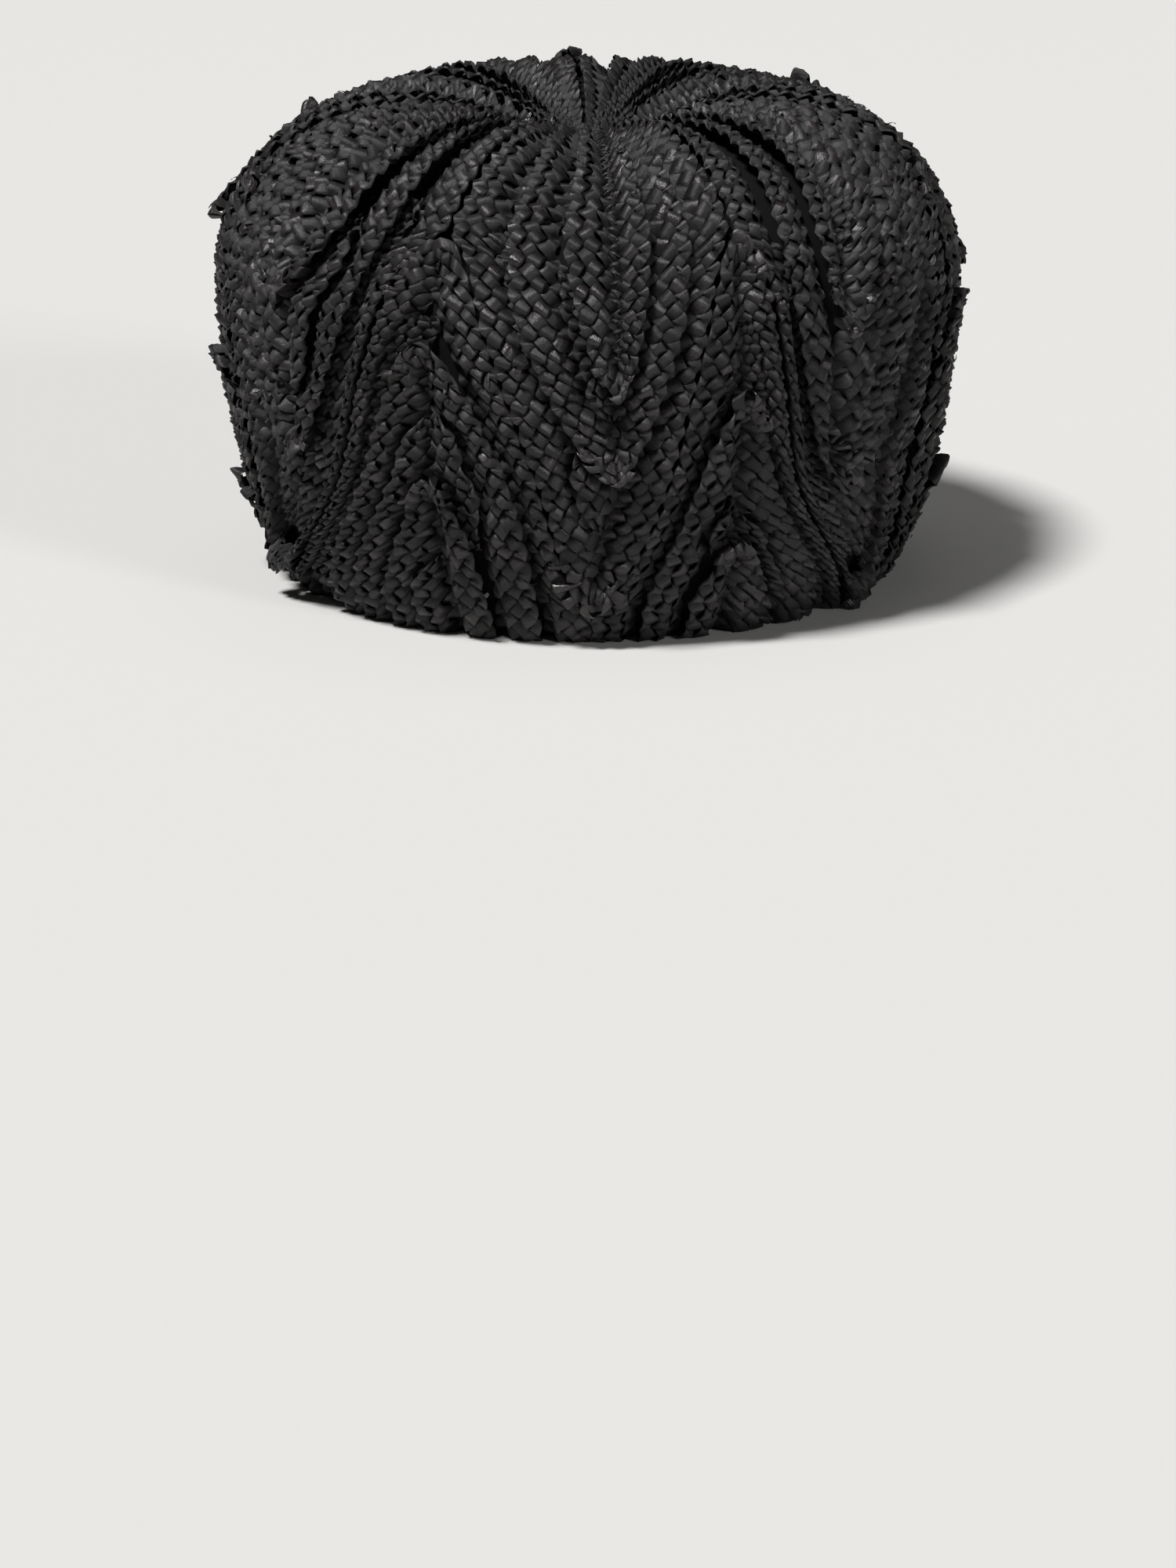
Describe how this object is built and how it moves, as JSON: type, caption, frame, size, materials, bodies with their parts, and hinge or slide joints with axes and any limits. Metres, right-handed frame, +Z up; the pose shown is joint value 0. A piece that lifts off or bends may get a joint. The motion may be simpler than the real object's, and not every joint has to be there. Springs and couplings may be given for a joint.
{
  "type": "raffia hat",
  "caption": "Round dimpled black raffia hat, narrow at the rim, covered with folded loops of flat braid that fall from the crown and rise from the rim.",
  "frame": {"origin": "centre of the box's bottom, on the surface that the rim stands on", "axes": "+Z up out of the crown, -Y to the front, +X to the wearer's left, which is the viewer's right"},
  "size_m": [0.2352, 0.2532, 0.1484],
  "materials": {
    "cap_cloth": "plain black millinery cloth, matt",
    "raffia_braid": "dyed black raffia ribbon, plaited flat, satin with fine lengthwise fibres"
  },
  "bodies": {
    "root": {"cap_shell": "cap_cloth", "fall_front_outer": "raffia_braid", "fall_front_middle": "raffia_braid", "fall_front_inner": "raffia_braid", "fall_front_right_outer": "raffia_braid", "fall_front_right_middle": "raffia_braid", "fall_front_right_inner": "raffia_braid", "fall_right_outer": "raffia_braid", "fall_right_middle": "raffia_braid", "fall_right_inner": "raffia_braid", "fall_back_right_outer": "raffia_braid", "fall_back_right_middle": "raffia_braid", "fall_back_right_inner": "raffia_braid", "fall_back_left_outer": "raffia_braid", "fall_back_left_middle": "raffia_braid", "fall_back_left_inner": "raffia_braid", "fall_left_outer": "raffia_braid", "fall_left_middle": "raffia_braid", "fall_left_inner": "raffia_braid", "fall_front_left_outer": "raffia_braid", "fall_front_left_middle": "raffia_braid", "fall_front_left_inner": "raffia_braid", "rise_front_right_outer": "raffia_braid", "rise_front_right_middle": "raffia_braid", "rise_front_right_inner": "raffia_braid", "rise_right_front_outer": "raffia_braid", "rise_right_front_middle": "raffia_braid", "rise_right_front_inner": "raffia_braid", "rise_right_back_outer": "raffia_braid", "rise_right_back_middle": "raffia_braid", "rise_right_back_inner": "raffia_braid", "rise_back_outer": "raffia_braid", "rise_back_middle": "raffia_braid", "rise_back_inner": "raffia_braid", "rise_left_back_outer": "raffia_braid", "rise_left_back_middle": "raffia_braid", "rise_left_back_inner": "raffia_braid", "rise_left_front_outer": "raffia_braid", "rise_left_front_middle": "raffia_braid", "rise_left_front_inner": "raffia_braid", "rise_front_left_outer": "raffia_braid", "rise_front_left_middle": "raffia_braid", "rise_front_left_inner": "raffia_braid"}
  },
  "joints": []
}
